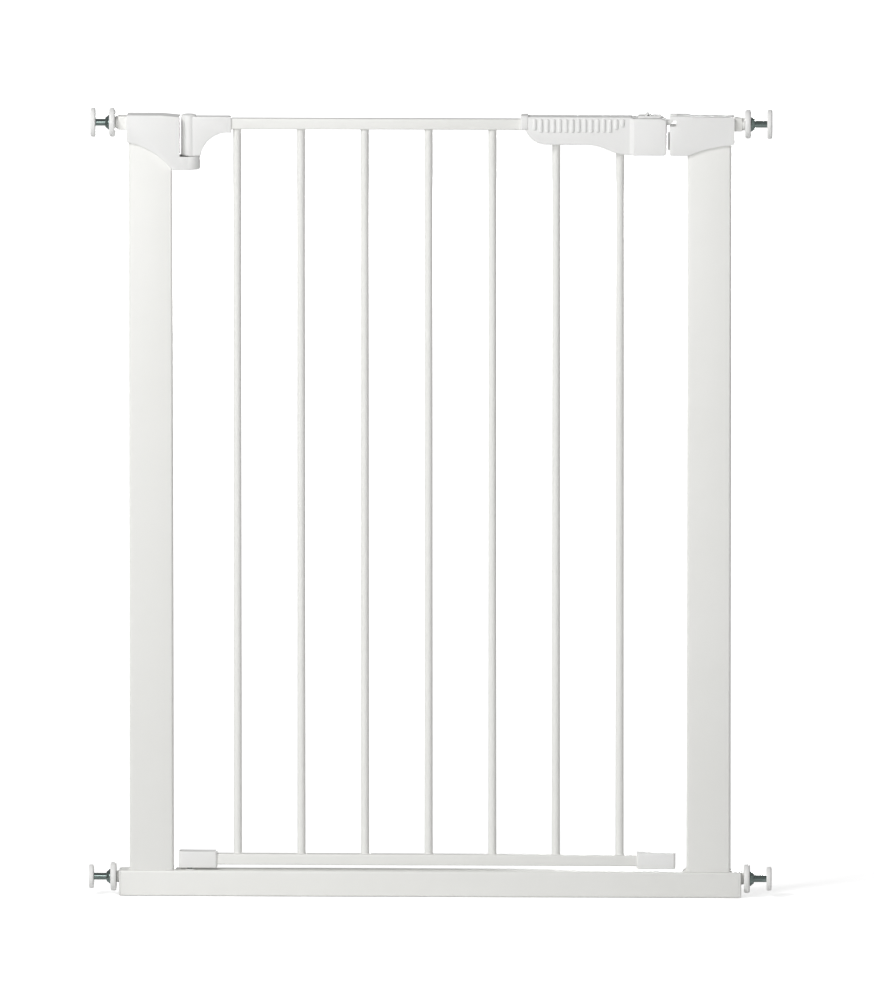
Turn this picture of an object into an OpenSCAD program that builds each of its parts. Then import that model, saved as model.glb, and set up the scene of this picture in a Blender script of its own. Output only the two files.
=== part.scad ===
// Pressure-mounted safety gate: a welded U-frame with a bar door hung on two pins,
// a slide-and-lift latch handle, and four screw spindles with wall pads.
// Millimetres. X runs across the gate, Y through it (front is -Y), Z is up.
// The origin is on the floor, midway between the posts.

/* [Gate size] */
// Overall length of the threshold rail with its end plugs
rail_length = 726; // [560:1:1000]
// Height of the upper spindle axis above the floor
spindle_height = 907.2; // [600:0.1:1200]

/* [Frame tubes] */
// Height of the threshold rail
rail_height = 30; // [24:0.5:36]
// Depth of the threshold rail
rail_depth = 30; // [26:0.5:44]
// Wall of the frame tubes
tube_wall = 1.5; // [0.8:0.1:2.5]
// Width of each post across the gate
post_width = 51; // [30:0.5:70]
// Depth of each post through the gate
post_depth = 25; // [20:0.5:28]
// Distance from the end of the rail to the outer face of the post
post_inset = 12.5; // [8:0.5:30]
// Side of the square stub tube on top of each post
stub_side = 16; // [12:0.5:20]

/* [Door] */
// Side of the square door rails
door_rail_side = 12.7; // [9:0.1:16]
// Wall of the door rails and bars
door_wall = 1.2; // [0.7:0.1:2]
// Diameter of a door bar
bar_diameter = 9.5; // [6:0.1:12]
// Number of door bars
bar_count = 7; // [5:1:11]
// Clear height from the floor to the door's bottom rail
door_bottom = 36; // [34:0.1:60]
// How far the door lifts on its pins
lift_travel = 8; // [4:0.5:12]

/* [Hinge] */
// Distance from the post's inner face to the hinge axis
hinge_offset = 18.9; // [17:0.1:30]
// Diameter of the upper hinge pin
hinge_pin_diameter = 8; // [5:0.1:10]
// Diameter of the lower pivot pin
pivot_pin_diameter = 6; // [4:0.1:8]
// Radius of the hinge barrel
barrel_radius = 9.1; // [7.5:0.1:10]
// Radial clearance of the running fits
running_fit = 0.05; // [0.02:0.01:0.1]

/* [Latch handle] */
// Half depth of the grip
grip_half_depth = 12; // [10:0.5:16]
// Half depth of the latch box
box_half_depth = 16.5; // [14:0.5:20]
// Travel of the thumb slide
slide_travel = 8; // [5:0.5:9]
// Spacing of the grip ribs
rib_pitch = 7.3; // [5:0.1:10]
// Number of grip ribs
rib_count = 15; // [5:1:15]

/* [Spindles] */
// Diameter of the screw spindles
spindle_diameter = 8; // [6:0.5:10]
// Diameter of the hand wheels
wheel_diameter = 33.5; // [24:0.5:40]
// Thickness of the hand wheels
wheel_thickness = 6.8; // [5:0.1:10]
// Diameter of the upper wall pads
upper_pad_diameter = 34; // [24:0.5:40]
// Diameter of the lower wall pads
lower_pad_diameter = 28; // [20:0.5:38]
// Thickness of the wall pads
pad_thickness = 5.8; // [4:0.1:10]
// Height of the lower spindle axis above the floor
lower_spindle_height = 21; // [18:0.1:24]

/* [Hidden] */
$fn = 64;
half_length = rail_length / 2;
plug_flange = 2.5;
post_out = half_length - post_inset;
post_in = post_out - post_width;
stub_z = spindle_height;
stub_bottom = stub_z - stub_side / 2;
hinge_x = -(post_in - hinge_offset);
door_z = stub_z - 1.1;
rail_z = stub_z - 0.7;
rail_low = rail_z - door_rail_side / 2;
bottom_rail_z = door_bottom + door_rail_side / 2;
bottom_rail_top = door_bottom + door_rail_side;
foot_low = door_bottom - 3.5;
foot_high = bottom_rail_top + 3.1;
foot_half_depth = 9;
bar_first = hinge_x + 56.1;
bar_last = post_in - 78.5;
bar_pitch = (bar_last - bar_first) / (bar_count - 1);
cup_radius = 13.1;
cup_low = stub_z - 54.3;
cup_top = stub_z - 38.7;
barrel_low = stub_z - 38.2;
barrel_top = stub_z + 8.1;
housing_half_depth = 15;
strike_x = post_in - 20.5;
handle_right = strike_x - 3.8;
handle_left = handle_right - 169.9;
box_x = handle_right - 37.2;
tongue_tip = handle_right + 7.1;
tongue_low = door_z + 0.5;
tongue_high = door_z + 5.8;
pin_r = hinge_pin_diameter / 2;
pivot_r = pivot_pin_diameter / 2;
rod_r = spindle_diameter / 2;
wheel_face = half_length + 3.4;
upper_left_pad_face = half_length + 32;
upper_right_pad_face = half_length + 35;
lower_pad_face = half_length + 35.5;
rod_inner = half_length - 45;

// ---- shared shapes ----

// A rectangle centred on the origin with round corners.
module round_rect(w, h, r) {
  square([w, h - 2 * r], center = true);
  square([w - 2 * r, h], center = true);
  for (sx = [-1, 1], sy = [-1, 1])
    translate([sx * (w / 2 - r), sy * (h / 2 - r)])
      circle(r = r);
}

// Turns an outline drawn in Y and Z into a solid between two X positions.
module along_x(x0, x1) {
  translate([x0, 0, 0])
    rotate([90, 0, 90])
      linear_extrude(x1 - x0)
        children();
}

// Turns an outline drawn in X and Z into a solid between two Y positions.
module along_y(y0, y1) {
  translate([0, y1, 0])
    rotate([90, 0, 0])
      linear_extrude(y1 - y0)
        children();
}

// A cylinder along X.
module rod_x(x0, x1, r) {
  translate([x0, 0, 0])
    rotate([0, 90, 0])
      cylinder(r = r, h = x1 - x0);
}

// A cylinder along Y.
module rod_y(y0, y1, r) {
  translate([0, y0, 0])
    rotate([-90, 0, 0])
      cylinder(r = r, h = y1 - y0);
}

// The section of a door rail, drawn around its own centre.
module door_rail_outline() {
  round_rect(door_rail_side, door_rail_side, 1.5);
}

// The socket that takes a door rail, with a little room.
module door_rail_socket() {
  round_rect(door_rail_side + 0.1, door_rail_side + 0.1, 1.55);
}

// The pockets that take a post's top and its stub tube, drawn for the right side.
module post_pocket() {
  translate([(post_in + post_out) / 2, 0, 0])
    linear_extrude(stub_bottom)
      round_rect(post_width + 0.1, post_depth + 0.1, 3.05);
  along_x(post_in + 12.5, half_length + 1)
    translate([0, stub_z])
      round_rect(stub_side + 0.1, stub_side + 0.1, 2.05);
}

// A pan-head screw from the rear: head at y0, shank running towards the front.
module screw_y(y0, shank) {
  difference() {
    rod_y(y0 - 1.8, y0, 2.9);
    translate([-2, y0 - 0.9, -0.4])
      cube([4, 1, 0.8]);
    translate([-0.4, y0 - 0.9, -2])
      cube([0.8, 1, 4]);
  }
  rod_y(y0 - 1.8 - shank, y0 - 1.8, 1.5);
}

// The hole for that screw, with its counterbore.
module screw_hole_y(y0, shank) {
  rod_y(y0 - 1.8, y0 + 3, 3.2);
  rod_y(y0 - 1.9 - shank, y0, 1.55);
}

// ---- the welded frame ----

// Threshold rail: a tube along the floor, with a hole for the pivot bush.
module threshold_rail() {
  color("#e2e2e0")
    difference() {
      along_x(-half_length + plug_flange, half_length - plug_flange)
        translate([0, rail_height / 2])
          difference() {
            round_rect(rail_depth, rail_height, 2.5);
            round_rect(rail_depth - 2 * tube_wall, rail_height - 2 * tube_wall, 1);
          }
      translate([hinge_x, 0, rail_height - tube_wall - 1])
        cylinder(r = 5.55, h = tube_wall + 2);
    }
}

// Post: an upright tube welded on the rail. It is drawn for the right side.
module post() {
  translate([(post_in + post_out) / 2, 0, rail_height])
    difference() {
      linear_extrude(stub_bottom - rail_height)
        difference() {
          round_rect(post_width, post_depth, 3);
          round_rect(post_width - 2 * tube_wall, post_depth - 2 * tube_wall, 1.5);
        }
      translate([0, 0, stub_bottom - rail_height - 9])
        rod_y(post_depth / 2 - tube_wall - 1, post_depth / 2 + 1, 1.55);
    }
}

module left_post() {
  color("#e9eae5")
    mirror([1, 0, 0])
      post();
}

module right_post() {
  color("#e2e2de")
    post();
}

// Stub tube: the short square tube on top of a post that guides the upper spindle.
module stub_tube() {
  along_x(post_in + 12.5, half_length)
    translate([0, stub_z])
      difference() {
        round_rect(stub_side, stub_side, 2);
        round_rect(stub_side - 2 * tube_wall, stub_side - 2 * tube_wall, 0.8);
      }
}

module left_stub_tube() {
  color("#e9eae5")
    mirror([1, 0, 0])
      stub_tube();
}

module right_stub_tube() {
  color("#e2e2de")
    stub_tube();
}

// Weld beads: a hollow fillet on each side of a post's foot.
module foot_welds(inner, outer) {
  y = post_depth / 2 - 3;
  along_y(-y, y)
    translate([post_in - inner, rail_height])
      difference() {
        square(inner);
        translate([0, inner])
          circle(r = inner);
      }
  along_y(-y, y)
    translate([post_out, rail_height])
      difference() {
        square(outer);
        translate([outer, outer])
          circle(r = outer);
      }
}

module left_foot_welds() {
  color("#e9eae5")
    mirror([1, 0, 0])
      foot_welds(3.6, 2.4);
}

module right_foot_welds() {
  color("#e2e2de")
    foot_welds(6, 2.4);
}

// Rail plug: closes the rail's end and guides the lower spindle.
module rail_plug() {
  difference() {
    union() {
      along_x(half_length - plug_flange, half_length)
        translate([0, rail_height / 2])
          round_rect(rail_depth - 0.6, rail_height - 0.6, 2.2);
      along_x(half_length - 20, half_length - plug_flange)
        translate([0, rail_height / 2])
          round_rect(rail_depth - 2 * tube_wall, rail_height - 2 * tube_wall, 1);
      translate([half_length, 0, lower_spindle_height])
        rotate([0, 90, 0])
          cylinder(r1 = 7.4, r2 = 6.6, h = 3.1);
    }
    translate([0, 0, lower_spindle_height])
      rod_x(half_length - 25, half_length + 5, rod_r + running_fit);
  }
}

module left_rail_plug() {
  color("#e6e6e4")
    mirror([1, 0, 0])
      rail_plug();
}

module right_rail_plug() {
  color("#e6e6e4")
    rail_plug();
}

// Stub plug: closes the stub tube and guides the upper spindle.
module stub_plug() {
  translate([0, 0, stub_z])
    difference() {
      union() {
        along_x(half_length - 20, half_length)
          round_rect(stub_side - 2 * tube_wall, stub_side - 2 * tube_wall, 0.8);
        rod_x(half_length, half_length + 3.1, 7.4);
      }
      rod_x(half_length - 25, half_length + 5, rod_r + running_fit);
    }
}

module left_stub_plug() {
  color("#e6e6e4")
    mirror([1, 0, 0])
      stub_plug();
}

module right_stub_plug() {
  color("#e6e6e4")
    stub_plug();
}

// ---- hinge side ----

// Hinge housing: side outline, with the scooped underside over the post.
module hinge_outline() {
  difference() {
    polygon([
      [-post_in - 53.5, cup_low],
      [-post_in - 53.5, stub_z + 9.8],
      [-post_in - 12.5, stub_z + 9.8],
      [hinge_x - barrel_radius - 1.1, stub_z + 7.8],
      [hinge_x - barrel_radius - 1.1, cup_low]
    ]);
    translate([-post_in - 67.62, stub_z - 104.51])
      circle(r = 84, $fn = 128);
  }
}

// What the two halves of the hinge housing are cut from.
module hinge_housing() {
  difference() {
    union() {
      along_y(-housing_half_depth, housing_half_depth)
        hinge_outline();
      translate([hinge_x, 0, cup_low])
        cylinder(r = cup_radius, h = cup_top - cup_low);
      translate([hinge_x - 12, -cup_radius, cup_low])
        cube([12, 2 * cup_radius, cup_top - cup_low]);
    }
    mirror([1, 0, 0])
      post_pocket();
    translate([0, 0, stub_z])
      rod_x(-post_in - 13, -post_in - 6, rod_r + 0.6);
    translate([hinge_x, 0, cup_low + 2])
      cylinder(r = 7.05, h = 40);
    translate([-post_in - 1, 0, stub_z])
      screw_hole_y(housing_half_depth, 22);
    translate([-post_in + 4.2, 0, stub_z - 40])
      screw_hole_y(housing_half_depth, 22);
    translate([-(post_in + post_out) / 2, 0, stub_bottom - 9])
      screw_hole_y(housing_half_depth, 7);
  }
}

module hinge_housing_front() {
  color("#ebebea")
    intersection() {
      hinge_housing();
      translate([-half_length, -40, 0])
        cube([half_length, 40, stub_z + 40]);
    }
}

module hinge_housing_rear() {
  color("#ebebea")
    intersection() {
      hinge_housing();
      translate([-half_length, 0, 0])
        cube([half_length, 40, stub_z + 40]);
    }
}

// Screws that close the hinge housing and hold it to the post.
module hinge_housing_screws() {
  color("#b9bcbc") {
    translate([-post_in - 1, 0, stub_z])
      screw_y(housing_half_depth, 22);
    translate([-post_in + 4.2, 0, stub_z - 40])
      screw_y(housing_half_depth, 22);
    translate([-(post_in + post_out) / 2, 0, stub_bottom - 9])
      screw_y(housing_half_depth, 7);
  }
}

// Bush in the cup that the upper hinge pin turns in.
module hinge_cup_bush() {
  color("#dcdcda")
    translate([hinge_x, 0, cup_low + 2])
      difference() {
        cylinder(r = 7, h = cup_top - cup_low - 2);
        translate([0, 0, 2])
          cylinder(r = pin_r + running_fit, h = 40);
      }
}

// Upper hinge pin: stands in the cup and carries the door's barrel.
module upper_hinge_pin() {
  color("#c4c7c6")
    translate([hinge_x, 0, cup_low + 4]) {
      cylinder(r = pin_r, h = stub_z - 11 - cup_low - 4);
      translate([0, 0, stub_z - 11 - cup_low - 4])
        cylinder(r1 = pin_r, r2 = pin_r - 1, h = 1);
    }
}

// Lower pivot pin: stands in the threshold and enters the door's foot cap.
module lower_pivot_pin() {
  color("#c4c7c6")
    translate([hinge_x, 0, 20.5]) {
      cylinder(r = pivot_r, h = 23.5);
      translate([0, 0, 23.5])
        cylinder(r1 = pivot_r, r2 = pivot_r - 0.8, h = 0.8);
    }
}

// Flanged bush pressed into the threshold rail for the lower pivot pin.
module lower_pivot_bush() {
  color("#dcdcda")
    translate([hinge_x, 0, 18.5])
      difference() {
        union() {
          cylinder(r = 5.5, h = rail_height - 18.5);
          translate([0, 0, rail_height - 18.5])
            cylinder(r = 7.5, h = 0.8);
        }
        translate([0, 0, 2])
          cylinder(r = pivot_r + running_fit, h = 20);
      }
}

// ---- latch side of the frame ----

// Strike housing: side outline, with the long curved underside over the post.
module strike_outline() {
  difference() {
    polygon([
      [strike_x, stub_z - 35.8],
      [strike_x, stub_z + 10.5],
      [post_in + 1.5, stub_z + 10.5],
      [post_in + 5, stub_z + 9.1],
      [post_in + 54.7, stub_z + 9.1],
      [post_in + 54.7, stub_z - 35.8]
    ]);
    translate([post_in + 57.9, stub_z - 159])
      circle(r = 136, $fn = 160);
    translate([strike_x - 1, door_z - 0.5])
      square([8.5, 7]);
  }
}

// What the two halves of the strike housing are cut from.
module strike_housing() {
  difference() {
    union() {
      along_y(-housing_half_depth, housing_half_depth)
        strike_outline();
      translate([strike_x - 2.2, -3, door_z - 29.5])
        cube([3, 6, 21]);
    }
    translate([strike_x - 1, -8.3, door_z - 0.5])
      cube([8.5, 16.6, 20]);
    post_pocket();
    translate([0, 0, stub_z])
      rod_x(post_in + 6, post_in + 13, rod_r + 0.6);
    translate([post_in - 1, 0, stub_z])
      screw_hole_y(housing_half_depth, 22);
    translate([post_in - 9, 0, stub_z - 27])
      screw_hole_y(housing_half_depth, 22);
    translate([(post_in + post_out) / 2, 0, stub_bottom - 9])
      screw_hole_y(housing_half_depth, 7);
  }
}

module strike_housing_front() {
  color("#e4e4e2")
    intersection() {
      strike_housing();
      translate([0, -40, 0])
        cube([half_length, 40, stub_z + 40]);
    }
}

module strike_housing_rear() {
  color("#e4e4e2")
    intersection() {
      strike_housing();
      cube([half_length, 40, stub_z + 40]);
    }
}

// Screws that close the strike housing and hold it to the post.
module strike_housing_screws() {
  color("#b9bcbc") {
    translate([post_in - 1, 0, stub_z])
      screw_y(housing_half_depth, 22);
    translate([post_in - 9, 0, stub_z - 27])
      screw_y(housing_half_depth, 22);
    translate([(post_in + post_out) / 2, 0, stub_bottom - 9])
      screw_y(housing_half_depth, 7);
  }
}

// ---- the door ----

// Square tube between two X positions at a given height.
module door_rail(x0, x1, z) {
  along_x(x0, x1)
    translate([0, z])
      difference() {
        door_rail_outline();
        round_rect(door_rail_side - 2 * door_wall, door_rail_side - 2 * door_wall, 0.5);
      }
}

module door_top_rail() {
  color("#efefed")
    door_rail(hinge_x + 12.6, handle_right - 43.2, rail_z);
}

module door_bottom_rail() {
  color("#ebebe9")
    door_rail(hinge_x + 6.6, handle_right - 13.2, bottom_rail_z);
}

// Door bar: a round tube welded between the two rails.
module door_bar(n) {
  color("#ececea")
    translate([bar_first + (n - 1) * bar_pitch, 0, bottom_rail_top])
      linear_extrude(rail_low - bottom_rail_top)
        difference() {
          circle(d = bar_diameter);
          circle(d = bar_diameter - 2 * door_wall);
        }
}

// Hinge bracket: barrel on the pin, with a curved web that holds the top rail.
module door_hinge_bracket() {
  color("#ebebea")
    difference() {
      union() {
        translate([hinge_x, 0, barrel_low])
          cylinder(r = barrel_radius, h = barrel_top - barrel_low);
        translate([hinge_x, 0, barrel_top])
          cylinder(r1 = barrel_radius - 0.6, r2 = barrel_radius - 3.5, h = 2.4);
        along_y(-8, 8)
          difference() {
            translate([hinge_x, barrel_low])
              square([49.6, barrel_top - 0.4 - barrel_low]);
            translate([hinge_x + 45.6, barrel_low - 5.3])
              circle(r = 32.6, $fn = 96);
            translate([hinge_x + 45.6, barrel_low - 1])
              square([10, 28.3]);
          }
      }
      along_x(hinge_x + 12.6, hinge_x + 60)
        translate([0, rail_z])
          door_rail_socket();
      translate([hinge_x, 0, barrel_low - 1])
        cylinder(r = pin_r + running_fit, h = stub_z - 5 - barrel_low + 1);
    }
}

// Hinge foot cap: closes the bottom rail and turns on the pivot pin.
module hinge_foot_cap() {
  color("#e6e6e5")
    difference() {
      translate([hinge_x + 9.85, 0, foot_low])
        linear_extrude(foot_high - foot_low)
          round_rect(44.7, 2 * foot_half_depth, 3);
      along_x(hinge_x + 6.6, hinge_x + 40)
        translate([0, bottom_rail_z])
          door_rail_socket();
      translate([hinge_x, 0, foot_low - 1])
        cylinder(r = pivot_r + running_fit, h = 15);
    }
}

// Latch foot cap: closes the free end of the bottom rail.
module latch_foot_cap() {
  color("#e0e0df")
    difference() {
      translate([handle_right - 11.45, 0, foot_low])
        linear_extrude(foot_high - foot_low)
          round_rect(44.7, 2 * foot_half_depth, 3);
      along_x(handle_right - 50, handle_right - 13.2)
        translate([0, bottom_rail_z])
          door_rail_socket();
    }
}

// ---- the latch handle ----

// Side outline of the handle: slim left end, round belly, deeper latch box.
module handle_outline() {
  low = door_z - 22.5;
  deep = door_z - 34.3;
  dip = (low - deep) / 2;
  sweep = (26.3 * 26.3 + dip * dip) / (2 * dip);
  translate([handle_left, door_z - 5])
    square([9.1, 16.5]);
  intersection() {
    translate([handle_left, low])
      square([30.7, door_z + 10 - low]);
    translate([handle_left + 30.7, low + 27])
      circle(r = 27, $fn = 96);
  }
  translate([handle_left + 9.1, door_z - 5])
    square([30, 15]);
  difference() {
    translate([handle_left + 30.7, low - dip - 1])
      square([70.3, door_z + 11 - low + dip]);
    translate([handle_left + 30.7, low - dip - 2])
      square([44, dip + 2]);
    translate([handle_left + 74.7, low - sweep])
      circle(r = sweep, $fn = 160);
  }
  intersection() {
    translate([handle_left + 101, deep])
      square([26.3, door_z + 10 - deep]);
    translate([handle_left + 127.3, deep + sweep])
      circle(r = sweep, $fn = 160);
  }
  difference() {
    translate([handle_left + 127.3, deep])
      square([42.6, door_z + 10 - deep]);
    translate([handle_left + 128.2, door_z + 8.7])
      square([50, 20]);
    translate([handle_right - 4, deep])
      difference() {
        square([5, 4]);
        translate([0, 4])
          circle(r = 4);
      }
    translate([handle_right, door_z + 6.5])
      polygon([[0, 0], [1, 0], [1, 4], [-6, 4], [-6, 2.2]]);
  }
}

// Plan outline of the handle: narrow grip widening to the latch box.
module handle_plan() {
  g = grip_half_depth;
  b = box_half_depth;
  polygon([
    [handle_left, -g], [box_x - 5, -g], [box_x + 2, -b], [handle_right, -b],
    [handle_right, b], [box_x + 2, b], [box_x - 5, g], [handle_left, g]
  ]);
}

// One column of plastic left standing around a handle screw.
module handle_boss(x, z) {
  translate([x, 0, z])
    rod_y(-20, 20, 4);
}

// The rib at place n, on both faces of the grip.
module grip_rib(n) {
  low = n == 0 ? -6 : n == rib_count - 1 ? -2 : n == rib_count - 2 ? -5 : -8.5;
  for (s = [-1, 1])
    translate([handle_left + 16.7 + n * rib_pitch, s * (grip_half_depth - 1.2), door_z + low])
      cylinder(r = 2.6, h = 8.5 - low);
}

// What the two halves of the handle are cut from.
module handle() {
  difference() {
    union() {
      intersection() {
        along_y(-box_half_depth, box_half_depth)
          handle_outline();
        linear_extrude(door_z + 40)
          handle_plan();
      }
      for (n = [0:rib_count - 1])
        grip_rib(n);
    }
    along_x(handle_left - 1, handle_right - 43.2)
      translate([0, rail_z])
        door_rail_socket();
    for (n = [bar_count - 2:bar_count])
      translate([bar_first + (n - 1) * bar_pitch, 0, foot_low])
        cylinder(d = bar_diameter + 0.1, h = rail_low - foot_low);
    difference() {
      translate([handle_left + 36, -9.5, door_z - 19.5])
        cube([83, 19, 12]);
      handle_boss(handle_left + 66, door_z - 14);
      handle_boss(handle_left + 100, door_z - 14);
    }
    difference() {
      translate([handle_right - 39.7, -13.5, door_z - 31])
        cube([37.2, 27, 37.4]);
      handle_boss(handle_right - 12, door_z - 22);
    }
    translate([handle_right - 3, -7.3, tongue_low - 0.4])
      cube([5, 14.6, tongue_high - tongue_low + 0.7]);
    translate([handle_right - 25.4 - slide_travel, -4.8, door_z + 5])
      cube([12.4 + slide_travel, 9.6, 10]);
    translate([handle_left + 66, 0, door_z - 14])
      screw_hole_y(grip_half_depth, 16);
    translate([handle_left + 100, 0, door_z - 14])
      screw_hole_y(grip_half_depth, 16);
    translate([handle_right - 12, 0, door_z - 22])
      screw_hole_y(box_half_depth, 24);
  }
}

module handle_shell_front() {
  color("#eeeeed")
    intersection() {
      handle();
      translate([0, -40, 0])
        cube([half_length, 40, door_z + 40]);
    }
}

module handle_shell_rear() {
  color("#eeeeed")
    intersection() {
      handle();
      cube([half_length, 40, door_z + 40]);
    }
}

// Screws that close the handle.
module handle_screws() {
  color("#b9bcbc") {
    translate([handle_left + 66, 0, door_z - 14])
      screw_y(grip_half_depth, 16);
    translate([handle_left + 100, 0, door_z - 14])
      screw_y(grip_half_depth, 16);
    translate([handle_right - 12, 0, door_z - 22])
      screw_y(box_half_depth, 24);
  }
}

// Thumb slide: a plate on top of the handle with a tent-shaped push ridge.
module thumb_slide() {
  color("#f0f0ef") {
    translate([handle_right - 33.2, -9.5, door_z + 9])
      cube([27, 19, 2.3]);
    along_y(-8.5, 8.5)
      polygon([
        [handle_right - 25.6, door_z + 11.3],
        [handle_right - 21.7, door_z + 14.6],
        [handle_right - 20.7, door_z + 14.6],
        [handle_right - 16.8, door_z + 11.3]
      ]);
    translate([handle_right - 25.2, -4.5, door_z - 2])
      cube([12, 9, 11]);
  }
}

// Latch tongue: carriage inside the handle with the tongue that enters the strike.
module latch_tongue() {
  color("#e8e8e6")
    difference() {
      union() {
        translate([handle_right - 29.2, -6.5, door_z - 10])
          cube([22, 13, 15.8]);
        along_y(-7, 7)
          polygon([
            [handle_right - 7.5, tongue_low],
            [tongue_tip - 3.6, tongue_low],
            [tongue_tip, tongue_high - 2.2],
            [tongue_tip, tongue_high],
            [handle_right - 7.5, tongue_high]
          ]);
      }
      translate([handle_right - 25.2, -4.5, door_z - 2])
        cube([12, 9, 11]);
      translate([0, 0, door_z - 6])
        rod_x(handle_right - 30, handle_right - 13.2, 3);
    }
}

// Latch spring: a coil that pushes the tongue out, built from half turns.
module latch_spring() {
  x0 = handle_right - 39.7;
  x1 = handle_right - 13.2;
  wire = 0.35;
  coil = 2.4;
  turns = 9;
  pitch = (x1 - x0 - 2 * wire) / turns;
  tilt = atan2(2 * coil, pitch / 2);
  big = sqrt(coil * coil + pitch * pitch / 16);
  color("#b9bcbc")
    translate([x0 + wire, 0, door_z - 6])
      for (k = [0:2 * turns - 1])
        translate([pitch / 4 + k * pitch / 2, 0, 0])
          rotate([0, 0, k % 2 == 0 ? -tilt : tilt])
            rotate([k % 2 == 0 ? 90 : -90, 0, 0])
              rotate_extrude(angle = 180, $fn = 28)
                translate([big, 0])
                  circle(r = wire, $fn = 14);
}

// ---- spindles, wheels and wall pads, drawn for the right side ----

// Spindle: a steel rod that the hand wheel screws in and out.
module spindle(z, pad_face) {
  color("#c2c8c4")
    translate([0, 0, z])
      rod_x(rod_inner, pad_face - pad_thickness + 3.3, rod_r);
}

// Wall pad: a disc with a round rim, fixed on the end of the spindle.
module pad(z, pad_face, d) {
  r = d / 2;
  e = 1.8;
  color("#f4f4f3")
    translate([pad_face - pad_thickness, 0, z])
      rotate([0, 90, 0])
        difference() {
          rotate_extrude() {
            square([r - e, pad_thickness]);
            translate([0, e])
              square([r, pad_thickness - 2 * e]);
            translate([r - e, e])
              circle(r = e);
            translate([r - e, pad_thickness - e])
              circle(r = e);
          }
          translate([0, 0, -1])
            cylinder(r = rod_r, h = 4.3);
        }
}

// Hand wheel: a plastic wheel with a round rim, turned by hand.
module wheel(z) {
  r = wheel_diameter / 2;
  e = 2.4;
  color("#eaeae8")
    translate([wheel_face, 0, z])
      rotate([0, 90, 0])
        difference() {
          rotate_extrude() {
            square([r - e, wheel_thickness]);
            translate([0, e])
              square([r, wheel_thickness - 2 * e]);
            translate([r - e, e])
              circle(r = e);
            translate([r - e, wheel_thickness - e])
              circle(r = e);
          }
          translate([0, 0, -1])
            cylinder(r = 7, h = wheel_thickness + 2, $fn = 6);
        }
}

// Nut insert: a hexagon steel nut in the wheel with a flared collar outside.
module nut(z) {
  color("#c9ccca")
    translate([wheel_face, 0, z])
      rotate([0, 90, 0])
        difference() {
          union() {
            cylinder(r = 7, h = wheel_thickness, $fn = 6);
            translate([0, 0, wheel_thickness])
              cylinder(r = 8.5, h = 1.4);
            translate([0, 0, wheel_thickness + 1.4])
              cylinder(r1 = 8.5, r2 = 5.6, h = 3.3);
          }
          translate([0, 0, -1])
            cylinder(r = rod_r + running_fit, h = wheel_thickness + 10);
        }
}

module upper_right_spindle() { spindle(stub_z, upper_right_pad_face); }
module lower_right_spindle() { spindle(lower_spindle_height, lower_pad_face); }
module upper_left_spindle() { mirror([1, 0, 0]) spindle(stub_z, upper_left_pad_face); }
module lower_left_spindle() { mirror([1, 0, 0]) spindle(lower_spindle_height, lower_pad_face); }

module upper_right_pad() { pad(stub_z, upper_right_pad_face, upper_pad_diameter); }
module lower_right_pad() { pad(lower_spindle_height, lower_pad_face, lower_pad_diameter); }
module upper_left_pad() {
  mirror([1, 0, 0])
    pad(stub_z, upper_left_pad_face, upper_pad_diameter);
}
module lower_left_pad() { mirror([1, 0, 0]) lower_right_pad(); }

module upper_right_wheel() { wheel(stub_z); }
module lower_right_wheel() { wheel(lower_spindle_height); }
module upper_left_wheel() { mirror([1, 0, 0]) wheel(stub_z); }
module lower_left_wheel() { mirror([1, 0, 0]) wheel(lower_spindle_height); }

module upper_right_nut() { nut(stub_z); }
module lower_right_nut() { nut(lower_spindle_height); }
module upper_left_nut() { mirror([1, 0, 0]) nut(stub_z); }
module lower_left_nut() { mirror([1, 0, 0]) nut(lower_spindle_height); }

// ---- what is drawn ----

threshold_rail();
left_post();
right_post();
left_stub_tube();
right_stub_tube();
left_foot_welds();
right_foot_welds();
left_rail_plug();
right_rail_plug();
left_stub_plug();
right_stub_plug();
hinge_housing_front();
hinge_housing_rear();
hinge_housing_screws();
hinge_cup_bush();
strike_housing_front();
strike_housing_rear();
strike_housing_screws();
lower_pivot_bush();
upper_hinge_pin();
lower_pivot_pin();
door_top_rail();
door_bottom_rail();
door_bar(1);  // door_bar_1
door_bar(2);  // door_bar_2
door_bar(3);  // door_bar_3
door_bar(4);  // door_bar_4
door_bar(5);  // door_bar_5
door_bar(6);  // door_bar_6
door_bar(7);  // door_bar_7
door_hinge_bracket();
hinge_foot_cap();
latch_foot_cap();
handle_shell_front();
handle_shell_rear();
handle_screws();
thumb_slide();
latch_tongue();
latch_spring();
upper_left_spindle();
upper_right_spindle();
lower_left_spindle();
lower_right_spindle();
upper_left_pad();
upper_right_pad();
lower_left_pad();
lower_right_pad();
upper_left_wheel();
upper_right_wheel();
lower_left_wheel();
lower_right_wheel();
upper_left_nut();
upper_right_nut();
lower_left_nut();
lower_right_nut();
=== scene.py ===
from math import atan2, cos, pi, radians, sin

import bmesh
import bpy
from mathutils import Matrix, Vector


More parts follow.
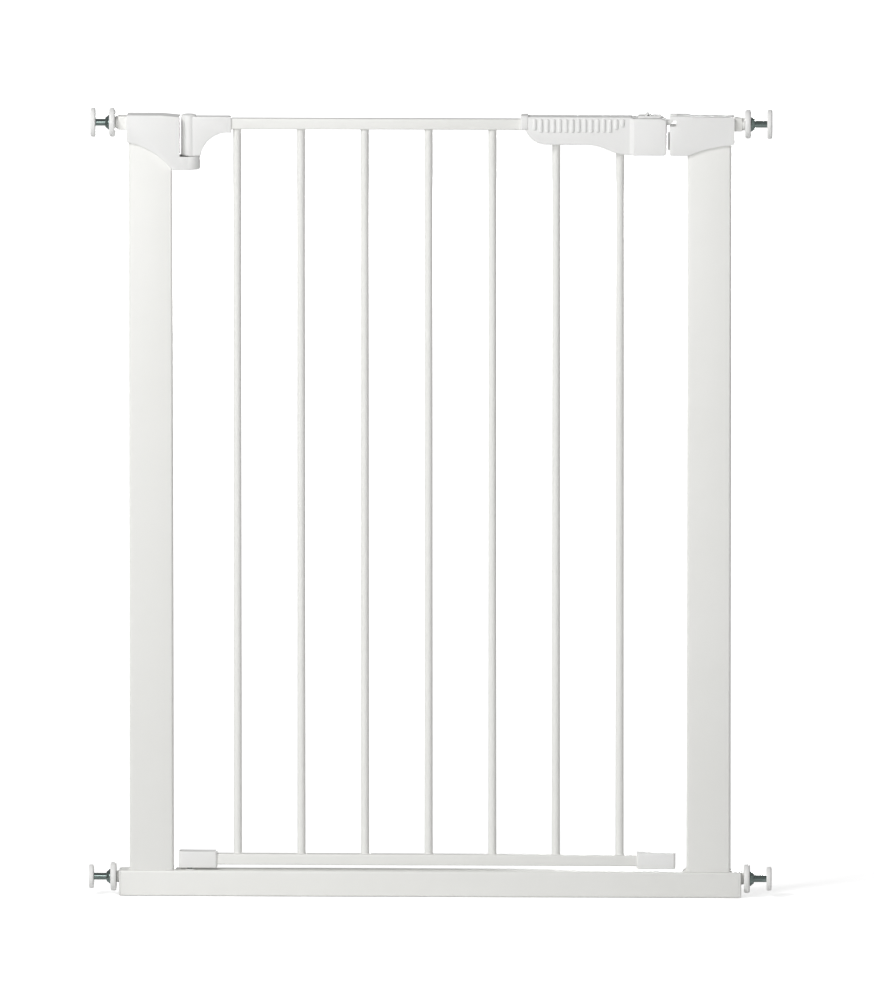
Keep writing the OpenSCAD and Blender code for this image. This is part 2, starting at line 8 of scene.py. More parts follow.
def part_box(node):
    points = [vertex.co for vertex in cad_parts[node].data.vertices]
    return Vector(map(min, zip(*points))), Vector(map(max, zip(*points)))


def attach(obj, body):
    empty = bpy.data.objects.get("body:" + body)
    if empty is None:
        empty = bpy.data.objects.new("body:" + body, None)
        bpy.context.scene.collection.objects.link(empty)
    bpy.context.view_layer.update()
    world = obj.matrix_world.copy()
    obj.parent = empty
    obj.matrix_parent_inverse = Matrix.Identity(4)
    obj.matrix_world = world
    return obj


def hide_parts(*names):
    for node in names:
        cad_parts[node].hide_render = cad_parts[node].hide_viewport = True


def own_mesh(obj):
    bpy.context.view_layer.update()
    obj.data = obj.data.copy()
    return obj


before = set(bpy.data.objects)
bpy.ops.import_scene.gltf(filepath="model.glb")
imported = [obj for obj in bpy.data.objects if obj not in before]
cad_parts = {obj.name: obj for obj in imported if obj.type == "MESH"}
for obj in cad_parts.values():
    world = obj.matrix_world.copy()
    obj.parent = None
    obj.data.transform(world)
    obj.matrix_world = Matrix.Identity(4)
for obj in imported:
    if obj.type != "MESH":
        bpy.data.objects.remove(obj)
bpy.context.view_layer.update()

# ---------------------------------------------------------------- powder-coated tubes
# The U-frame and the door are cut from mild-steel tube, welded, then powder coated
# white. The coat flows round the tube's corners, fills the weld toes and cures to a
# semi-gloss skin with a faint orange peel.


def hex_colour(code):
    """An sRGB hex colour as linear red, green, blue and alpha."""
    channels = [int(code[i:i + 2], 16) / 255 for i in (1, 3, 5)]
    return tuple(c / 12.92 if c <= 0.04045 else ((c + 0.055) / 1.055) ** 2.4 for c in channels) + (1,)


def add_node(tree, kind, settings=(), links=()):
    """Adds a node, sets its properties and sockets, and links its inputs."""
    node = tree.nodes.new(kind)
    for key, value in dict(settings).items():
        if isinstance(key, str) and hasattr(node, key) and key not in node.inputs:
            setattr(node, key, value)
        else:
            node.inputs[key].default_value = value
    for key, source in dict(links).items():
        tree.links.new(source, node.inputs[key])
    return node


def new_finish(name, light, dark, roughness, metallic, grain, relief, patch=60):
    """A finish whose colour drifts over patch mm, with a grain of that size and relief in mm."""
    mat = bpy.data.materials.new(name)
    mat.use_nodes = True
    tree = mat.node_tree
    tree.nodes.clear()
    place = add_node(tree, "ShaderNodeTexCoord").outputs["Object"]
    drift = add_node(tree, "ShaderNodeTexNoise", {"Scale": 1000 / patch, "Detail": 3}, {"Vector": place})
    blend = add_node(tree, "ShaderNodeMix", {"data_type": "RGBA"}, {0: drift.outputs["Fac"]})
    blend.inputs[6].default_value = hex_colour(dark)
    blend.inputs[7].default_value = hex_colour(light)
    fine = add_node(tree, "ShaderNodeTexNoise", {"Scale": 1000 / grain, "Detail": 2}, {"Vector": place})
    gloss = add_node(
        tree, "ShaderNodeMapRange",
        {"To Min": roughness - 0.04, "To Max": roughness + 0.05}, {"Value": drift.outputs["Fac"]})
    bump = add_node(
        tree, "ShaderNodeBump", {"Strength": 0.6, "Distance": relief / 1000},
        {"Height": fine.outputs["Fac"]})
    shader = add_node(
        tree, "ShaderNodeBsdfPrincipled", {"Metallic": metallic},
        {"Base Color": blend.outputs[2], "Roughness": gloss.outputs[0], "Normal": bump.outputs[0]})
    add_node(tree, "ShaderNodeOutputMaterial", links={"Surface": shader.outputs[0]})
    return mat


# Polyester powder coat: the peel is 1.5 mm across and gives the highlights a soft edge.
powder_coat = new_finish("powder_coat_white_semi_gloss", "#f3f3f0", "#efefeb", 0.36, 0, 1.5, 0.02, 120)


def box_mm(node):
    """The lowest and highest corner of a CAD node, in millimetres."""
    return tuple(corner * 1000 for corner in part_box(node))


def all_of(bm):
    return bm.verts[:] + bm.edges[:] + bm.faces[:]


def soften(bm, edges, width, segments=3):
    """Rounds these edges."""
    bmesh.ops.bevel(
        bm, geom=edges, offset=width, offset_type="OFFSET", segments=segments, profile=0.5,
        affect="EDGES", clamp_overlap=True, material=-1)


def block(bm, low, high):
    """Adds a box between two corners, and returns its corners."""
    low, high = Vector(low), Vector(high)
    made = bmesh.ops.create_cube(bm, size=1)["verts"]
    bmesh.ops.scale(bm, vec=high - low, verts=made)
    bmesh.ops.translate(bm, vec=(low + high) / 2, verts=made)
    return made


def edges_along(verts, axis):
    """The edges between these corners that run along an axis: 0 is X, 1 is Y, 2 is Z."""
    found = {e for v in verts for e in v.link_edges}
    return [e for e in found if abs((e.verts[0].co - e.verts[1].co).normalized()[axis]) > 0.99]


def carved(bm, cutter):
    """Takes a closed cutter out of a closed shape, and returns the new shape."""
    pair = []
    for shape in (bm, cutter):
        bmesh.ops.recalc_face_normals(shape, faces=shape.faces)
        mesh = bpy.data.meshes.new("blank")
        shape.to_mesh(mesh)
        shape.free()
        pair.append(bpy.data.objects.new("blank", mesh))
        bpy.context.collection.objects.link(pair[-1])
    cut = pair[0].modifiers.new("cut", "BOOLEAN")
    cut.operation, cut.object, cut.solver = "DIFFERENCE", pair[1], "EXACT"
    done = bmesh.new()
    done.from_object(pair[0], bpy.context.evaluated_depsgraph_get())
    for held in pair:
        mesh = held.data
        bpy.data.objects.remove(held)
        bpy.data.meshes.remove(mesh)
    return done


def hollowed(bm, low, high):
    """Cuts a box between two corners out of a closed shape, and returns the new shape."""
    cutter = bmesh.new()
    block(cutter, low, high)
    return carved(bm, cutter)


def tube(low, high, axis, corner, rim=0.4):
    """A tube's outside between two corners: round long edges, and softened ends."""
    bm = bmesh.new()
    made = block(bm, low, high)
    soften(bm, edges_along(made, axis), corner, 6)
    ends = [e for e in bm.edges if abs((e.verts[0].co - e.verts[1].co).normalized()[axis]) < 0.01
            and any(abs(f.normal[axis]) > 0.99 for f in e.link_faces)]
    soften(bm, ends, rim, 2)
    return bm


def piece(bm, name, body, nodes, mat, sharp=32):
    """Turns millimetre geometry into a finished piece that rides on a body."""
    bmesh.ops.scale(bm, vec=(0.001, 0.001, 0.001), verts=bm.verts)
    bmesh.ops.recalc_face_normals(bm, faces=bm.faces)
    mesh = bpy.data.meshes.new(name)
    bm.to_mesh(mesh)
    bm.free()
    mesh.shade_smooth()
    mesh.set_sharp_from_angle(angle=radians(sharp))
    mesh.materials.append(mat)
    made = bpy.data.objects.new(name, mesh)
    bpy.context.collection.objects.link(made)
    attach(made, body)
    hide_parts(*nodes)
    return made


cut_rim = 0.5
for node, axis, corner in (("threshold_rail", 0, 2.5), ("left_post", 2, 3), ("right_post", 2, 3)):
    piece(tube(*box_mm(node), axis, corner, cut_rim), node + "_coated", "frame", [node],
          powder_coat)

# The stub tubes are open right through: a spindle wound in goes past their inner ends.
stub_wall, stub_corner, overrun = 1.5, 2, 1
for node in ("left_stub_tube", "right_stub_tube"):
    low, high = box_mm(node)
    inset = Vector((-overrun, stub_wall, stub_wall))
    piece(hollowed(tube(low, high, 0, stub_corner, cut_rim), low + inset, high - inset),
          node + "_coated", "frame", [node], powder_coat)

door_tube_corner = 1.5
for node in ("door_top_rail", "door_bottom_rail"):
    piece(tube(*box_mm(node), 0, door_tube_corner), node + "_coated", "door", [node],
          powder_coat)

# ---------------------------------------------------------------- welds at the posts' feet
# Each post is welded along the two narrow sides of its foot. The bead leaves a hollow
# fillet under the coat, larger inside the doorway on the latch side.


def trace(bm, first, *runs):
    """Lays a closed outline in X and Z and fills it. A run is a point, or (centre, point, steps)."""
    start = last = bm.verts.new((first[0], 0, first[1]))
    for run in runs:
        if len(run) == 2:
            nxt = bm.verts.new((run[0], 0, run[1]))
            bm.edges.new((last, nxt))
            last = nxt
            continue
        (cx, cz), (x, z), steps = run
        turn = atan2(x - cx, z - cz) - atan2(last.co.x - cx, last.co.z - cz)
        turn = (turn + pi) % (2 * pi) - pi
        spun = bmesh.ops.spin(
            bm, geom=[last], cent=(cx, 0, cz), axis=(0, 1, 0), dvec=(0, 0, 0), angle=turn,
            steps=steps, use_duplicate=False)
        last = next(v for v in spun["geom_last"] if isinstance(v, bmesh.types.BMVert))
    if (last.co - start.co).length > 0.05:
        bm.edges.new((last, start))
    bmesh.ops.remove_doubles(bm, verts=bm.verts, dist=0.05)
    bmesh.ops.contextual_create(bm, geom=bm.edges[:])
    return bm.faces[:]


def plate(runs, y0, y1, rim=1.0, back_rim=None, corners=(), segments=3):
    """An outline made solid between two Y positions, with its rims rounded."""
    bm = bmesh.new()
    trace(bm, *runs)
    for (x, z), radius in corners:
        near = min(bm.verts, key=lambda v: (v.co - Vector((x, 0, z))).length)
        bmesh.ops.bevel(bm, geom=[near], offset=radius, offset_type="OFFSET", segments=5,
                        profile=0.5, affect="VERTICES", material=-1)
    bmesh.ops.translate(bm, vec=(0, y0, 0), verts=bm.verts)
    front = bm.faces[:]
    grown = bmesh.ops.extrude_face_region(bm, geom=front)["geom"]
    moved = [v for v in grown if isinstance(v, bmesh.types.BMVert)]
    bmesh.ops.translate(bm, vec=(0, y1 - y0, 0), verts=moved)
    bmesh.ops.recalc_face_normals(bm, faces=bm.faces)
    for y, width in ((y1, rim), (y0, rim if back_rim is None else back_rim)):
        if width:
            edge = [e for e in bm.edges if all(abs(v.co.y - y) < 0.001 for v in e.verts)]
            soften(bm, edge, width, segments)
    return bm


def merge(bm, other):
    """Adds another shape's geometry to bm."""
    spare = bpy.data.meshes.new("spare")
    other.to_mesh(spare)
    other.free()
    bm.from_mesh(spare)
    bpy.data.meshes.remove(spare)


post_left, post_right = box_mm("left_post"), box_mm("right_post")
rail_top = box_mm("threshold_rail")[1].z
weld_root = rail_top - 0.3
weld_half_length = 9.5
outer_weld = 2.4
for side, (low, high), inner_weld in (("left", post_left, 3.6), ("right", post_right, 6.0)):
    flip = -1 if side == "left" else 1
    near, far = sorted((abs(low.x), abs(high.x)))
    bm = bmesh.new()
    for edge, way, r in ((near, -1, inner_weld), (far, 1, outer_weld)):
        x = flip * edge
        toe_x = x + flip * way * r
        merge(bm, plate(
            [(x, weld_root), (toe_x, weld_root), (toe_x, rail_top),
             ((toe_x, rail_top + r), (x, rail_top + r), 8)],
            -weld_half_length, weld_half_length, 0.3, None, (), 2))
    piece(bm, side + "_foot_weld_beads", "frame", [side + "_foot_welds"],
          powder_coat)

# ---------------------------------------------------------------- door bars
# Seven round steel tubes stand between the door's rails. Each is welded all round, and
# the coat draws the weld into a small fillet at both ends.


def turned(bm, profile, steps=48):
    """Turns a profile of (radius, height) points round the Z axis, and returns its corners."""
    chain = [bm.verts.new((r, 0, z)) for r, z in profile]
    links = [bm.edges.new(pair) for pair in zip(chain, chain[1:])]
    before = set(bm.verts) - set(chain)
    bmesh.ops.spin(
        bm, geom=chain + links, cent=(0, 0, 0), axis=(0, 0, 1), dvec=(0, 0, 0), angle=2 * pi,
        steps=steps, use_merge=True, use_duplicate=False)
    made = [v for v in bm.verts if v not in before]
    bmesh.ops.remove_doubles(bm, verts=made, dist=0.001)
    return [v for v in bm.verts if v not in before]


def quarter(r0, z0, r1, z1, steps=5, hollow=False):
    """Points on a quarter round from one profile point to another."""
    turns = [i / steps * pi / 2 for i in range(steps + 1)]
    if hollow:
        return [(r0 + (r1 - r0) * sin(t), z0 + (z1 - z0) * (1 - cos(t))) for t in turns]
    return [(r0 + (r1 - r0) * (1 - cos(t)), z0 + (z1 - z0) * sin(t)) for t in turns]


bar_count = 7
weld_toe, weld_rise = 1.5, 1.9
for n in range(1, bar_count + 1):
    low, high = box_mm(f"door_bar_{n}")
    r = (high.x - low.x) / 2
    bm = bmesh.new()
    turned(bm, [(0, low.z), (r + weld_toe, low.z)]
           + quarter(r + weld_toe, low.z, r, low.z + weld_rise, 5, True)
           + quarter(r, high.z - weld_rise, r + weld_toe, high.z, 5, False)
           + [(0, high.z)])
    bmesh.ops.translate(bm, vec=((low.x + high.x) / 2, 0, 0), verts=bm.verts)
    piece(bm, f"door_bar_{n}_coated", "door", [f"door_bar_{n}"], powder_coat)

# ---------------------------------------------------------------- hinge housing
# A nylon shell in two halves is screwed round the post's top. Its scooped underside
# runs down to a cup that holds the door's upper pin.
# Moulded nylon: a fine spark-eroded texture, 0.8 mm across, keeps the gloss low.
moulding = new_finish("nylon_moulded_white_satin", "#f2f2f1", "#efefed", 0.4, 0, 0.8, 0.012, 90)

stub_z = sum(c.z for c in box_mm("upper_right_spindle")) / 2
post_in = post_right[0].x
hinge_x = sum(c.x for c in box_mm("upper_hinge_pin")) / 2
gap = 0.1  # half of the parting line between two halves
housing_depth = 15
recess_depth, recess_radius = 2, 3.2


def drum(x, z0, z1, r, low_rim, high_rim, flat=None, steps=64):
    """An upright cylinder with rounded rims. A flat sets how wide its domed top stays level."""
    flat = r - high_rim if flat is None else flat
    bm = bmesh.new()
    turned(bm, [(0, z0)] + quarter(r, z0 + low_rim, r - low_rim, z0)[::-1]
           + quarter(r, z1 - high_rim, flat, z1, 7) + [(0, z1)], steps)
    bmesh.ops.translate(bm, vec=(x, 0, 0), verts=bm.verts)
    return bm


def halve(bm, side):
    """Keeps the front (-1) or rear (1) half, with a hairline parting gap."""
    bmesh.ops.bisect_plane(
        bm, geom=all_of(bm), dist=0.0001, plane_co=(0, side * gap, 0), plane_no=(0, side, 0),
        clear_inner=True)
    bmesh.ops.holes_fill(bm, edges=[e for e in bm.edges if len(e.link_faces) == 1], sides=0)
    return bm


def bored(bm, holes, face):
    """Sinks screw recesses at these (x, z) places from a rear face at Y, and returns the shape."""
    drill = bmesh.new()
    reach = recess_depth + 4
    for x, z in holes:
        verts = bmesh.ops.create_cone(
            drill, cap_ends=True, segments=32, radius1=recess_radius, radius2=recess_radius,
            depth=reach)["verts"]
        bmesh.ops.rotate(drill, cent=(0, 0, 0), matrix=Matrix.Rotation(pi / 2, 3, "X"), verts=verts)
        bmesh.ops.translate(drill, vec=(x, face - recess_depth + reach / 2, z), verts=verts)
    return carved(bm, drill)


outer, inner = -post_in - 53.5, -post_in + 8.7
outer_low, outer_top, inner_top = stub_z - 21.7, stub_z + 9.8, stub_z + 7.8
scoop = (-post_in - 67.62, stub_z - 104.51)
cup_low, cup_top, cup_radius = stub_z - 54.3, stub_z - 38.7, 13.1
post_middle = (post_left[0].x + post_left[1].x) / 2
hinge_runs = [
    (outer, outer_low), (outer, outer_top), (-post_in - 12.5, outer_top),
    (inner, inner_top), (inner, cup_low), (-post_in - 0.3, cup_low),
    (scoop, (outer, outer_low), 24)]
for side, word in ((-1, "front"), (1, "rear")):
    bm = plate(hinge_runs, side * gap, side * housing_depth, 0.8, 0.25,
               [((outer, outer_top), 2.5), ((outer, outer_low), 1.5), ((inner, inner_top), 1.2)])
    if side > 0:
        bm = bored(bm, [(-post_in - 1, stub_z), (-post_in + 4.2, stub_z - 40),
                        (post_middle, stub_z - 17)], housing_depth)
    merge(bm, halve(drum(hinge_x, cup_low, cup_top, cup_radius, 2.4, 0.8), side))
    # A tapered wall joins the shell to the cup.
    bridge = plate([(hinge_x - 12, cup_low), (hinge_x - 12, cup_top), (hinge_x, cup_top),
                    (hinge_x, cup_low)], side * gap, side * housing_depth, 0.8, 0.25)
    for v in bridge.verts:
        if v.co.x > hinge_x - 2:
            v.co.y *= cup_radius / housing_depth
    merge(bm, bridge)
    piece(bm, f"hinge_housing_{word}_moulded", "frame", [f"hinge_housing_{word}"],
          moulding)

# ---------------------------------------------------------------- door hinge bracket
# One moulding: a barrel that turns on the upper pin, and a curved web that grips the
# end of the door's top rail.
barrel_low, barrel_top, barrel_radius = stub_z - 38.2, stub_z + 10.5, 9.1
web_end, web_low, web_top, web_depth = hinge_x + 49.6, stub_z - 10.9, stub_z + 7.7, 8
bow_x = hinge_x + 45.6
bm = drum(hinge_x, barrel_low, barrel_top, barrel_radius, 0.7, 2.4, 2)
merge(bm, plate(
    [(hinge_x, barrel_low), (hinge_x, web_top), (web_end, web_top), (web_end, web_low),
     (bow_x, web_low), ((bow_x, stub_z - 43.5), (hinge_x + 13.43, barrel_low), 18)],
    -web_depth, web_depth, 1.4, None, [((web_end, web_top), 3), ((web_end, web_low), 1)]))
piece(bm, "door_hinge_bracket_moulded", "door", ["door_hinge_bracket"], moulding)

# ---------------------------------------------------------------- foot caps
# Nylon caps close the ends of the bottom rail. The hinge end's cap turns on the lower
# pin, and both have generous corners so that they can't catch.
for node in ("hinge_foot_cap", "latch_foot_cap"):
    low, high = box_mm(node)
    bm = bmesh.new()
    made = block(bm, low, high)
    soften(bm, edges_along(made, 2), 3, 5)
    soften(bm, [e for e in bm.edges if any(abs(f.normal.z) > 0.99 for f in e.link_faces)
                and any(abs(f.normal.z) < 0.01 for f in e.link_faces)], 1.3, 4)
    piece(bm, node + "_moulded", "door", [node], moulding)

# ---------------------------------------------------------------- strike housing
# The latch side's shell, in two halves round the other post's top. Its nose is notched
# for the latch tongue, and a long curve runs under it to the outer end.
door_z = stub_z - 1.1  # the latch's own level
bumper = 2.2
nose = box_mm("strike_housing_front")[0].x + bumper
notch_back, notch_low, notch_high = nose + 7.5, door_z - 0.5, door_z + 6.5
nose_low, nose_top, main_top = stub_z - 35.8, stub_z + 10.5, stub_z + 9.1
far_end, far_low = post_in + 54.7, stub_z - 23.04
under = (post_in + 57.9, stub_z - 159)
post_middle = (post_right[0].x + post_right[1].x) / 2
far_corners = [((far_end, main_top), 2.5), ((far_end, far_low), 2.5)]
strike_top = [(post_in + 1.5, nose_top), (post_in + 5, main_top), (far_end, main_top), (far_end, far_low)]
strike_runs = [
    (nose, nose_low), (nose, notch_low), (notch_back, notch_low), (notch_back, notch_high),
    (nose, notch_high), (nose, nose_top)] + strike_top + [(under, (post_in + 0.29, nose_low), 24)]
for side, word in ((-1, "front"), (1, "rear")):
    # The outer layer has the notch, and the inner ones leave a slot for the tongue.
    bm = plate(strike_runs, side * 8.3, side * housing_depth, 0.8, 0,
               far_corners + [((nose, nose_low), 2.2), ((nose, nose_top), 1.2)])
    if side > 0:
        bm = bored(bm, [(post_in - 1, stub_z), (post_in - 9, stub_z - 27),
                        (post_middle, stub_z - 17)], housing_depth)
    merge(bm, plate(
        [(notch_back, stub_z - 30), (notch_back, nose_top)] + strike_top
        + [(under, (post_in + 4, stub_z - 34.05), 20)],
        side * gap, side * 8.6, 0, 0.25, far_corners))
    merge(bm, plate(
        [(nose, nose_low), (nose, notch_low), (nose + 10, notch_low), (nose + 10, nose_low)],
        side * gap, side * 8.6, 0, 0.25, [((nose, nose_low), 2.2)]))
    merge(bm, plate(
        [(nose - bumper, door_z - 29.5), (nose - bumper, door_z - 8.5), (nose + 1, door_z - 8.5),
         (nose + 1, door_z - 29.5)], side * gap, side * 3, 0.4, 0.1))
    piece(bm, f"strike_housing_{word}_moulded", "frame", [f"strike_housing_{word}"],
          moulding)

# ---------------------------------------------------------------- latch handle
# Two nylon shells close round the top rail. The grip has a row of upright ribs and
# swells underneath; the deeper box at its free end holds the latch.
low, high = box_mm("handle_shell_front")
grip_end, box_end = low.x, high.x
collar_low, collar_top, collar_x = door_z - 5, door_z + 11.5, grip_end + 9.1
grip_top, grip_depth = door_z + 10, 12
box_top, box_depth = door_z + 8.7, 16.5
belly, deep, bend = door_z - 22.5, door_z - 34.3, 61.57
sway_x, step_x = grip_end + 127.3, grip_end + 133
slot_back, slot_front, slot_half = box_end - 33.4, box_end - 13, 4.8
grip_screw_z = door_z - 14
rib_count, rib_pitch, rib_radius, rib_top = 15, 7.3, 2.6, 8.3
rib_feet = {0: -6, rib_count - 2: -5, rib_count - 1: -2}  # the end ribs are shorter
for side, word in ((-1, "front"), (1, "rear")):
    # The chamber for the tongue's carriage, as two corners.
    y_near, y_far = sorted((-0.5 * side, 13.5 * side))
    chamber = ((box_end - 39.8, y_near, door_z - 31), (box_end - 2.5, y_far, door_z + 6.4))
    bm = plate(
        [(grip_end + 8.6, collar_low), (grip_end + 8.6, grip_top), (grip_end + 128.2, grip_top),
         (step_x, box_top), (step_x, deep + 0.2), (sway_x, deep),
         ((sway_x, deep + bend), (grip_end + 101, belly - 5.9), 10),
         ((grip_end + 74.7, belly - bend), (grip_end + 74.7, belly), 10),
         (grip_end + 30.7, belly),
         ((grip_end + 30.7, belly + 27), (grip_end + 5.6, collar_low), 16)],
        side * gap, side * grip_depth, 3.4, 0.25, (), 5)
    if side > 0:
        bm = bored(bm, [(grip_end + 66, grip_screw_z), (grip_end + 100, grip_screw_z)], grip_depth)
    bm = hollowed(bm, *chamber)
    # The top is let in where the thumb slide comes back.
    bm = hollowed(bm, (box_end - 41.5, -9.8, door_z + 8.85), (box_end - 35, 9.8, door_z + 12))
    merge(bm, plate(
        [(grip_end, collar_low), (grip_end, collar_top), (collar_x, collar_top),
         (collar_x, collar_low)],
        side * gap, side * 12.3, 1.6, 0.25,
        [((grip_end, collar_low), 1.6), ((grip_end, collar_top), 2.2)]))
    box = plate(
        [(grip_end + 131, deep), (grip_end + 131, box_top), (box_end - 6, box_top),
         (box_end, door_z + 6.5), (box_end, deep)],
        side * gap, side * box_depth, 1.5, 0.25, [((box_end, deep), 4)], 4)
    if side > 0:
        box = bored(box, [(box_end - 12, door_z - 22)], box_depth)
    box = hollowed(box, *chamber)
    # The tongue comes out through the end, and the thumb slide's stem goes in at the top.
    box = hollowed(box, (box_end - 3, -7.3, door_z + 0.1), (box_end + 2, 7.3, door_z + 6.2))
    box = hollowed(box, (slot_back, -slot_half, door_z + 5), (slot_front, slot_half, door_z + 15))
    merge(bm, box)
    for i in range(rib_count):
        foot = rib_feet.get(i, -8.5)
        rib = bmesh.new()
        turned(rib, [(0, foot)] + quarter(rib_radius, foot + rib_radius, 0, foot)[::-1][1:]
               + quarter(rib_radius, rib_top - rib_radius, 0, rib_top)[:-1] + [(0, rib_top)], 20)
        place = (grip_end + 16.7 + i * rib_pitch, side * 11.2, door_z)
        bmesh.ops.translate(rib, vec=place, verts=rib.verts)
        merge(bm, rib)
    # A slope leads from the grip out to the deeper box.
    ramp_x = grip_end + 126
    ramp = plate([(ramp_x, deep + 1), (ramp_x, box_top), (step_x, box_top), (step_x, deep + 1)],
                 side * gap, side * 16.3, 0, 0)
    for v in ramp.verts:
        if v.co.x < ramp_x + 1 and abs(v.co.y) > grip_depth:
            v.co.y = side * 11.4
    merge(bm, hollowed(ramp, *chamber))
    piece(bm, f"handle_shell_{word}_moulded", "door", [f"handle_shell_{word}"],
          moulding)

# ---------------------------------------------------------------- thumb slide and tongue
# The slide is a plate with a tent-shaped push ridge. Its stem goes through the handle's
# top to the tongue, which a coil spring keeps in the strike.
low, high = box_mm("thumb_slide")
slide_low, slide_top, ridge_top, ridge_half = door_z + 9, door_z + 11.3, door_z + 14.6, 8.5
ridge_x = box_end - 21.2
bm = bmesh.new()
made = block(bm, (low.x, low.y, slide_low), (high.x, high.y, slide_top))
soften(bm, edges_along(made, 2), 2, 4)
soften(bm, [e for e in bm.edges if all(v.co.z > slide_top - 0.1 for v in e.verts)], 0.8, 3)
merge(bm, plate(
    [(ridge_x - 4.4, slide_top - 0.3), (ridge_x - 0.5, ridge_top), (ridge_x + 0.5, ridge_top),
     (ridge_x + 4.4, slide_top - 0.3)], -ridge_half, ridge_half, 0.6, None,
    [((ridge_x - 0.5, ridge_top), 0.5), ((ridge_x + 0.5, ridge_top), 0.5)]))
block(bm, (box_end - 25.2, -4.5, door_z + 4), (box_end - 13.2, 4.5, slide_low + 0.2))
piece(bm, "thumb_slide_moulded", "thumb_latch", ["thumb_slide"], moulding)

# A dark triangle under the ridge's peak, on both faces, is painted shade that stands for the shadowed
# hollow beneath the ridge.
painted_ridge_shade = new_finish("painted_shade_under_ridge_dark_grey", "#3c3c3a", "#30302f", 0.5, 0, 0.8, 0.005, 10)
bm = bmesh.new()
for side in (-1, 1):
    merge(bm, plate([(ridge_x - 1.8, door_z + 11.6), (ridge_x, door_z + 13.6),
                     (ridge_x + 1.8, door_z + 11.6)],
                    side * (ridge_half - 0.2), side * (ridge_half + 0.1), 0, 0))
piece(bm, "thumb_slide_painted_shade_under_ridge", "thumb_latch", ["thumb_slide"], painted_ridge_shade)

# ---------------------------------------------------------------- plugs at the tube ends
# Acetal plugs close the threshold rail and the stub tubes. Each has a short collar that
# guides its spindle and bears the hand wheel.
acetal = new_finish("acetal_off_white_smooth", "#ececea", "#e7e7e4", 0.34, 0, 1.2, 0.008, 70)


def lay_over(bm, x, z, flip):
    """Turns a shape made round Z so that it lies along X at a height, pointing out."""
    bmesh.ops.rotate(bm, cent=(0, 0, 0), matrix=Matrix.Rotation(pi / 2, 3, "Y"), verts=bm.verts)
    if flip < 0:
        bmesh.ops.scale(bm, vec=(-1, 1, 1), verts=bm.verts)
    bmesh.ops.translate(bm, vec=(flip * x, 0, z), verts=bm.verts)
    return bm


low_z = sum(c.z for c in box_mm("lower_right_spindle")) / 2
steel_end = box_mm("threshold_rail")[1].x
plug_end = steel_end + 2.5
collar_bore, collar_high = 4.2, 3.1
for side, flip in (("left", -1), ("right", 1)):
    low, high = box_mm(side + "_rail_plug")
    inner, outer = sorted((flip * (steel_end - 0.5), flip * plug_end))
    bm = tube((inner, low.y, low.z), (outer, high.y, high.z), 0, 2.2, 0.9)
    collar = bmesh.new()
    turned(collar, [(7.4, -1), (7.3, 0), (6.6, 2.7), (6.2, collar_high), (collar_bore, collar_high),
                    (collar_bore, -1)], 48)
    merge(bm, lay_over(collar, plug_end, low_z, flip))
    piece(bm, side + "_rail_plug_moulded", "frame", [side + "_rail_plug"], acetal)
    bm = bmesh.new()
    turned(bm, [(collar_bore, -19), (6.4, -19), (6.4, -0.2), (7.4, -0.2), (7.4, 2.7),
                (7.0, collar_high), (collar_bore, collar_high), (collar_bore, -19)], 48)
    lay_over(bm, plug_end, stub_z, flip)
    piece(bm, side + "_stub_plug_moulded", "frame", [side + "_stub_plug"], acetal)

# ---------------------------------------------------------------- spindles, pads and hand wheels
# Each zinc-plated spindle ends in a soft white pad that grips the wall. A nylon hand
# wheel round a flared steel nut winds it in and out.
# Bright zinc: slightly blue-green, with clear reflections from the tumbled plate. Its base colour is
# darkened below real zinc as a painted reflection of dark surroundings.
zinc = new_finish("steel_zinc_plated_painted_dark_reflection", "#8c9996", "#6f7d7a", 0.15, 1, 1.0, 0.006, 14)
# Thermoplastic rubber: matt, with a fine eroded texture.
rubber = new_finish("rubber_thermoplastic_white_matt", "#f5f5f4", "#f1f1ef", 0.58, 0, 0.9, 0.015, 40)
pad_rim = 1.9
wheel_rim, wheel_bore, groove = 2.4, 4.6, 0.5
nut_bore = 4.05


def round_size(node):
    """Where a round piece starts along X from the gate's middle, its length and its radius."""
    low, high = box_mm(node)
    near, far = sorted((abs(low.x), abs(high.x)))
    return near, far - near, (high.z - low.z) / 2


